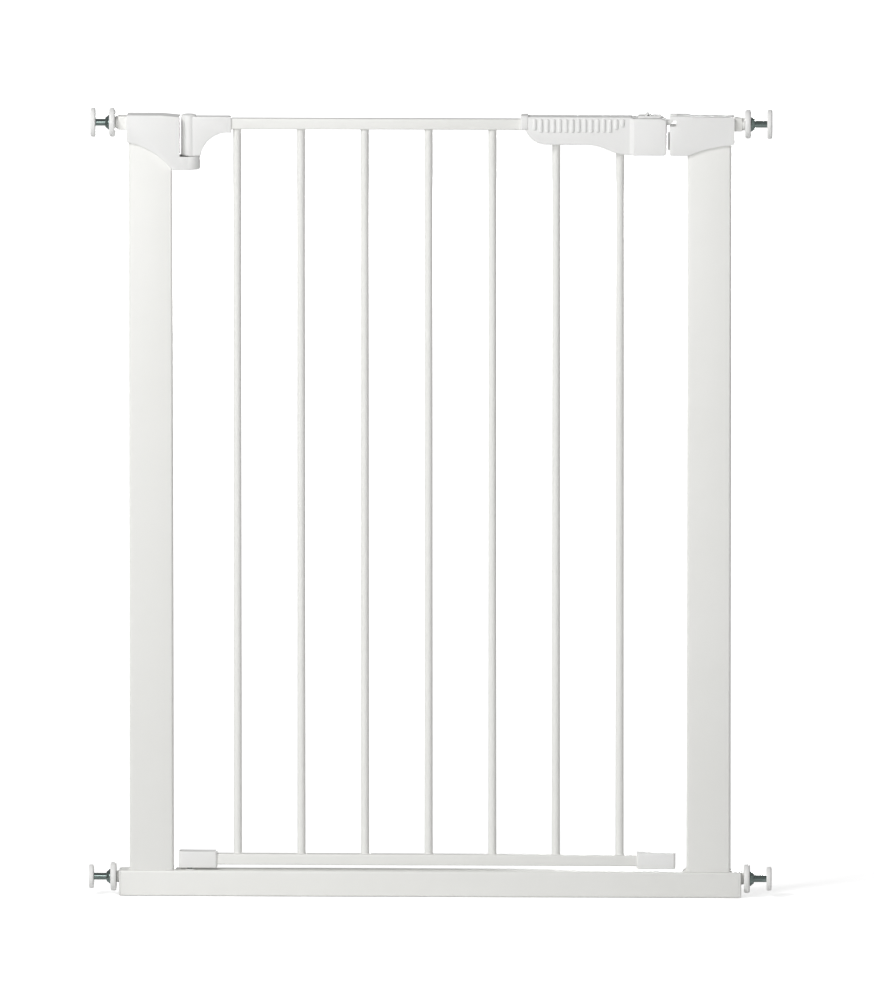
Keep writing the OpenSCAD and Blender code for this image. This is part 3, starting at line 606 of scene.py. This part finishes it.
for level, z in (("upper", stub_z), ("lower", low_z)):
    for side, flip in (("left", -1), ("right", 1)):
        name = f"{level}_{side}"
        inner, t, r = round_size(name + "_spindle")
        bm = bmesh.new()
        turned(bm, [(0, 0), (r - 0.8, 0), (r, 0.8), (r, t), (0, t)], 40)
        lay_over(bm, inner, z, flip)
        piece(bm, name + "_spindle_plated", name + "_screw", [name + "_spindle"], zinc)

        inner, t, r = round_size(name + "_pad")
        r -= 0.03
        bm = bmesh.new()
        turned(bm, [(0, 0.3), (5.4, 0.3), (6, 0), (r - pad_rim, 0)]
               + quarter(r, pad_rim, r - pad_rim, 0)[::-1][1:]
               + quarter(r, t - pad_rim, r - pad_rim, t)
               + [(r - 4, t), (r - 4.6, t - 0.5), (0, t - 0.5)], 72)
        lay_over(bm, inner, z, flip)
        piece(bm, name + "_pad_moulded", name + "_screw", [name + "_pad"], rubber)

        inner, t, r = round_size(name + "_wheel")
        bm = bmesh.new()
        turned(bm, [(wheel_bore, 0), (r - 5.5, 0), (r - 4.8, groove), (r - 3.4, groove),
                    (r - wheel_rim, 0)]
               + quarter(r, wheel_rim, r - wheel_rim, 0)[::-1][1:]
               + quarter(r, t - wheel_rim, r - wheel_rim, t)
               + [(r - 3.4, t - groove), (r - 4.8, t - groove), (r - 5.5, t),
                  (wheel_bore, t), (wheel_bore, 0)], 72)
        lay_over(bm, inner, z, flip)
        piece(bm, name + "_wheel_moulded", name + "_hand_wheel", [name + "_wheel"],
              moulding)

        bm = bmesh.new()
        turned(bm, [(nut_bore, t - 3), (4.5, t - 3), (4.5, t - 0.1), (8.1, t), (8.5, t + 0.4),
                    (8.5, t + 1.2), (8.2, t + 1.6), (7.2, t + 2.5), (6.3, t + 3.7), (5.8, t + 4.5),
                    (5.4, t + 4.7), (nut_bore, t + 4.7), (nut_bore, t - 3)], 64)
        lay_over(bm, inner, z, flip)
        piece(bm, name + "_nut_plated", name + "_hand_wheel", [name + "_nut"], zinc)

# ---------------------------------------------------------------- hidden steel and bushes
# The pins, screws, spring and bushes keep their machined shapes, and take the finish
# of the real ones.
for node, mat in (
        ("hinge_housing_screws", zinc), ("strike_housing_screws", zinc), ("handle_screws", zinc),
        ("upper_hinge_pin", zinc), ("lower_pivot_pin", zinc), ("latch_spring", zinc),
        ("hinge_cup_bush", acetal), ("lower_pivot_bush", acetal), ("latch_tongue", moulding)):
    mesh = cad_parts[node].data
    mesh.materials.clear()
    mesh.materials.append(mat)

# The real spring shortens from its inner end as the slide is pushed back; here its bounds are read and it
# gets a mesh of its own.
low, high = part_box("latch_spring")
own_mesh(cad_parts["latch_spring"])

# ---------------------------------------------------------------- floor and light
# A white sweep that keeps the gate's shadow, a large soft light high on the left, a
# weaker one in front, a low one behind, and even light from all round.
bm = bmesh.new()
bmesh.ops.create_grid(bm, x_segments=1, y_segments=1, size=16)
mesh = bpy.data.meshes.new("floor")
bm.to_mesh(mesh)
bm.free()
floor = bpy.data.objects.new("floor", mesh)
floor.location = (0, 4, -0.0005)
bpy.context.collection.objects.link(floor)
white = bpy.data.materials.new("paper_sweep_white")
white.use_nodes = True
tree = white.node_tree
tree.nodes.clear()
rays = add_node(tree, "ShaderNodeLightPath")
place = add_node(tree, "ShaderNodeTexCoord").outputs["Object"]
away = add_node(tree, "ShaderNodeVectorMath", {"operation": "DISTANCE", 1: (0, -4, 0)}, {0: place})
lift = add_node(
    tree, "ShaderNodeMapRange", {"From Min": 0.5, "From Max": 3.0, "To Min": 0.55, "To Max": 1.0},
    {"Value": away.outputs["Value"]})
seen = add_node(tree, "ShaderNodeMath", {"operation": "MULTIPLY"},
                {0: rays.outputs["Is Camera Ray"], 1: lift.outputs[0]})
matt = add_node(tree, "ShaderNodeBsdfDiffuse", {"Color": (0.9, 0.9, 0.9, 1)})
glow = add_node(tree, "ShaderNodeEmission", {"Color": (1, 1, 1, 1)}, {"Strength": seen.outputs[0]})
both = add_node(tree, "ShaderNodeAddShader", (), {0: matt.outputs[0], 1: glow.outputs[0]})
add_node(tree, "ShaderNodeOutputMaterial", links={"Surface": both.outputs[0]})
mesh.materials.append(white)

world = bpy.data.worlds.new("studio")
bpy.context.scene.world = world
world.use_nodes = True
tree = world.node_tree
tree.nodes.clear()
rays = add_node(tree, "ShaderNodeLightPath")
room = add_node(tree, "ShaderNodeBackground", {"Color": (1, 1, 1, 1), "Strength": 0.3})
paper = add_node(tree, "ShaderNodeBackground", {"Color": (1, 1, 1, 1), "Strength": 1.0})
seen = add_node(tree, "ShaderNodeMath", {"operation": "MAXIMUM"},
                {0: rays.outputs["Is Camera Ray"], 1: rays.outputs["Is Transmission Ray"]})
both = add_node(
    tree, "ShaderNodeMixShader", (),
    {0: seen.outputs[0], 1: room.outputs[0], 2: paper.outputs[0]})
add_node(tree, "ShaderNodeOutputWorld", links={"Surface": both.outputs[0]})

aim = Vector((0, 0, 0.5))
for name, spot, size, power in (
        ("key", (-4.2, -4.0, 5.2), 2.1, 224),
        ("front", (-1.2, -4.6, 2.2), 2.0, 61),
        ("rear", (0.8, 7.0, 0.6), 1.1, 130)):
    lamp = bpy.data.lights.new(name, "AREA")
    lamp.shape, lamp.size, lamp.energy = "SQUARE", size, power
    held = bpy.data.objects.new(name, lamp)
    held.location = spot
    held.rotation_euler = (aim - Vector(spot)).to_track_quat("-Z", "Y").to_euler()
    bpy.context.collection.objects.link(held)

# ---------------------------------------------------------------- camera
# A long lens, far off and a little above the gate, looks square on to its front.
distance, width_seen, film_width = 30.0, 1.165, 36
tilt, turn = radians(7.5), radians(1.5)
target = Vector((0.0080, 0, 0.4654))
back = Vector((sin(turn) * cos(tilt), -cos(turn) * cos(tilt), sin(tilt)))
lens = bpy.data.cameras.new("camera")
lens.lens = film_width * distance / width_seen
lens.clip_start, lens.clip_end = 1, 200
camera = bpy.data.objects.new("camera", lens)
camera.location = target + back * distance
camera.rotation_mode = "QUATERNION"
camera.rotation_quaternion = (-back).to_track_quat("-Z", "Y")
bpy.context.collection.objects.link(camera)
bpy.context.scene.camera = camera
bpy.context.scene.view_settings.view_transform = "Standard"
